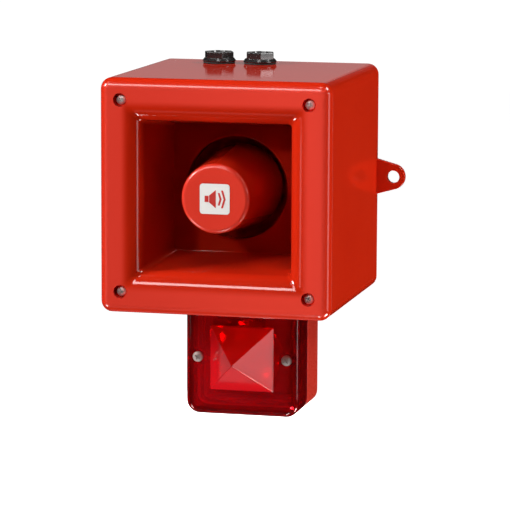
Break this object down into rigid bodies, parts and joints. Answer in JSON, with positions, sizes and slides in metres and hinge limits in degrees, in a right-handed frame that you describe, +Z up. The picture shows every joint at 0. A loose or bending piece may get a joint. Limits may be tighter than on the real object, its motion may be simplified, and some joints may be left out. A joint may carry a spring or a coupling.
{
  "type": "horn strobe",
  "caption": "Wall-mounted fire alarm sounder: square red housing with a folded horn, cable-entry plugs on top, side fixing lugs and a red-lensed xenon beacon below.",
  "frame": {"origin": "middle of the housing's flat rear face, on the wall", "axes": "+Z up, the horn faces -Y, +X to the right of someone facing the horn"},
  "size_m": [0.2082, 0.165, 0.2612],
  "materials": {
    "housing_red": "satin-gloss moulded ABS",
    "strobe_base_red": "satin moulded ABS",
    "lens_red": "clear deep red polycarbonate",
    "label_white": "smooth printed film",
    "black_nylon": "moulded nylon",
    "screw_steel": "passivated stainless",
    "yoke_steel": "zinc plated",
    "nipple_brass": "nickel-washed brass",
    "seal_rubber": "soft moulded rubber",
    "ferrite": "ground ferrite ceramic",
    "phenolic_film": "pressed phenolic film",
    "copper_winding": "enamelled copper wire",
    "board_green": "solder-resist laminate",
    "terminal_green": "moulded terminal plastic",
    "transformer_yellow": "taped winding on a laminated core",
    "capacitor_blue": "sleeved aluminium can",
    "switch_red": "moulded switch body",
    "slider_cream": "moulded slider",
    "trimmer_blue": "moulded trimmer body",
    "wire_red": "PVC insulation",
    "wire_black": "PVC insulation",
    "reflector_chrome": "vacuum-metallised plastic",
    "tube_glass": "clear quartz glass with metal caps"
  },
  "bodies": {
    "enclosure": {"rear_housing": "housing_red", "front_gasket": "seal_rubber", "horn_flare": "housing_red", "cover_screw_1": "screw_steel", "cover_screw_2": "screw_steel", "cover_screw_3": "screw_steel", "cover_screw_4": "screw_steel", "bullet": "housing_red", "bullet_label": "label_white", "bullet_screw": "screw_steel", "tone_arm": "housing_red", "driver_gasket": "seal_rubber", "driver_front": "black_nylon", "phase_plug": "black_nylon", "top_plate": "yoke_steel", "magnet_ring": "ferrite", "pole_yoke": "yoke_steel", "driver_cover": "black_nylon", "driver_screw_1": "screw_steel", "driver_screw_2": "screw_steel", "driver_screw_3": "screw_steel", "sounder_board": "board_green", "board_screw_1": "screw_steel", "board_screw_2": "screw_steel", "board_screw_3": "screw_steel", "board_screw_4": "screw_steel", "terminal_block": "terminal_green", "transformer": "transformer_yellow", "board_capacitor": "capacitor_blue", "tone_switch": "switch_red", "volume_trimmer": "trimmer_blue", "driver_lead_1": "wire_red", "driver_lead_2": "wire_black", "strobe_lead_1": "wire_red", "strobe_lead_2": "wire_black", "stopping_plug_1": "black_nylon", "plug_seal_1": "seal_rubber", "plug_locknut_1": "black_nylon", "stopping_plug_2": "black_nylon", "plug_seal_2": "seal_rubber", "plug_locknut_2": "black_nylon", "strobe_nipple": "nipple_brass", "strobe_spacer": "seal_rubber", "nipple_locknut": "black_nylon", "strobe_base": "strobe_base_red", "strobe_gasket": "seal_rubber", "strobe_lens": "lens_red", "lens_screw_1": "screw_steel", "lens_screw_2": "screw_steel", "reflector": "reflector_chrome", "strobe_board": "board_green", "xenon_tube": "tube_glass", "strobe_capacitor": "capacitor_blue"},
    "moving_coil": {"diaphragm": "phenolic_film", "voice_coil": "copper_winding"},
    "volume_rotor": {"volume_rotor": "slider_cream"},
    "tone_slider_1": {"tone_slider_1": "slider_cream"},
    "tone_slider_2": {"tone_slider_2": "slider_cream"},
    "tone_slider_3": {"tone_slider_3": "slider_cream"},
    "tone_slider_4": {"tone_slider_4": "slider_cream"}
  },
  "joints": [
    {"name": "diaphragm_stroke", "type": "slide", "parent": "enclosure", "child": "moving_coil", "axis": [0, 1, 0], "range_m": [-0.0004, 0.0004], "stiffness_N_per_m": 200},
    {"name": "volume_turn", "type": "hinge", "parent": "enclosure", "child": "volume_rotor", "pos_m": [0.016, -0.0189, -0.028], "axis": [0, -1, 0], "range_deg": [-135, 135]},
    {"name": "tone_switch_1", "type": "slide", "parent": "enclosure", "child": "tone_slider_1", "axis": [0, 0, 1], "range_m": [0, 0.0012]},
    {"name": "tone_switch_2", "type": "slide", "parent": "enclosure", "child": "tone_slider_2", "axis": [0, 0, 1], "range_m": [0, 0.0012]},
    {"name": "tone_switch_3", "type": "slide", "parent": "enclosure", "child": "tone_slider_3", "axis": [0, 0, 1], "range_m": [0, 0.0012]},
    {"name": "tone_switch_4", "type": "slide", "parent": "enclosure", "child": "tone_slider_4", "axis": [0, 0, 1], "range_m": [0, 0.0012]}
  ]
}
